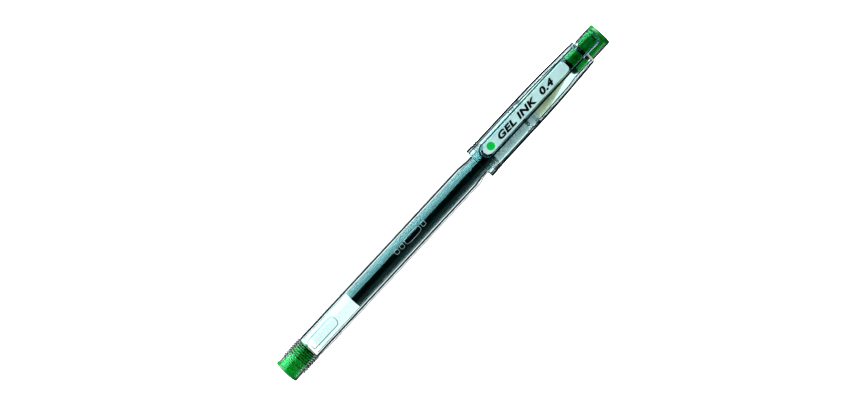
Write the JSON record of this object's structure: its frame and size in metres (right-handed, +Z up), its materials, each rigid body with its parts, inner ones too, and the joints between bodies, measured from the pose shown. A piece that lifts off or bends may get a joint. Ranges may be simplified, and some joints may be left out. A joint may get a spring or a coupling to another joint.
{
  "type": "capped gel pen",
  "caption": "Capped needle-point gel pen: clear ribbed barrel over a dark ink refill, clear cap with a straight pocket clip, green end pieces.",
  "frame": {"origin": "middle of the pen's length and width, level with the lowest line of the cap mouth", "axes": "+X along the pen from the tail to the end of the cap, +Z up through the clip"},
  "size_m": [0.14, 0.011, 0.013],
  "materials": {
    "clear_barrel": "clear polished moulding",
    "clear_cap": "clear polished moulding",
    "clear_refill": "clear extruded tube",
    "clear_grease": "clear gel",
    "clear_float": "clear moulding",
    "milky_plastic": "milky moulding",
    "tip_plastic": "satin moulding",
    "green_plastic": "gloss moulding",
    "green_print": "gloss print",
    "label_film": "satin film",
    "gel_ink": "dark green gel",
    "seal_rubber": "matt",
    "needle_steel": "drawn tube",
    "ball_carbide": "polished"
  },
  "bodies": {
    "barrel": {"barrel": "clear_barrel", "tail_plug": "green_plastic", "refill_tube": "clear_refill", "ink_column": "gel_ink", "tip_holder": "tip_plastic", "needle_base": "needle_steel", "needle_tube": "needle_steel", "writing_ball": "ball_carbide"},
    "cap": {"cap_shell": "clear_cap", "inner_cap": "green_plastic", "needle_seal": "seal_rubber"},
    "clip": {"clip": "clear_cap", "clip_label": "label_film", "colour_dot": "green_print"},
    "nose": {"nose_cone": "milky_plastic"},
    "follower": {"follower_grease": "clear_grease", "follower_float": "clear_float"}
  },
  "joints": [
    {"name": "cap_pull", "type": "slide", "parent": "barrel", "child": "cap", "axis": [1, 0, 0], "range_m": [0, 0.06]},
    {"name": "clip_flex", "type": "hinge", "parent": "cap", "child": "clip", "pos_m": [0.0575, 0, 0.01215], "axis": [0, 1, 0], "range_deg": [0, 3.5], "stiffness_Nm_per_rad": 2},
    {"name": "nose_unscrew", "type": "hinge", "parent": "barrel", "child": "nose", "pos_m": [0.0435, 0, 0.0055], "axis": [1, 0, 0], "range_deg": [0, 1440]},
    {"name": "ink_use", "type": "slide", "parent": "barrel", "child": "follower", "axis": [1, 0, 0], "range_m": [0, 0.07], "deforming": ["ink_column"]}
  ]
}
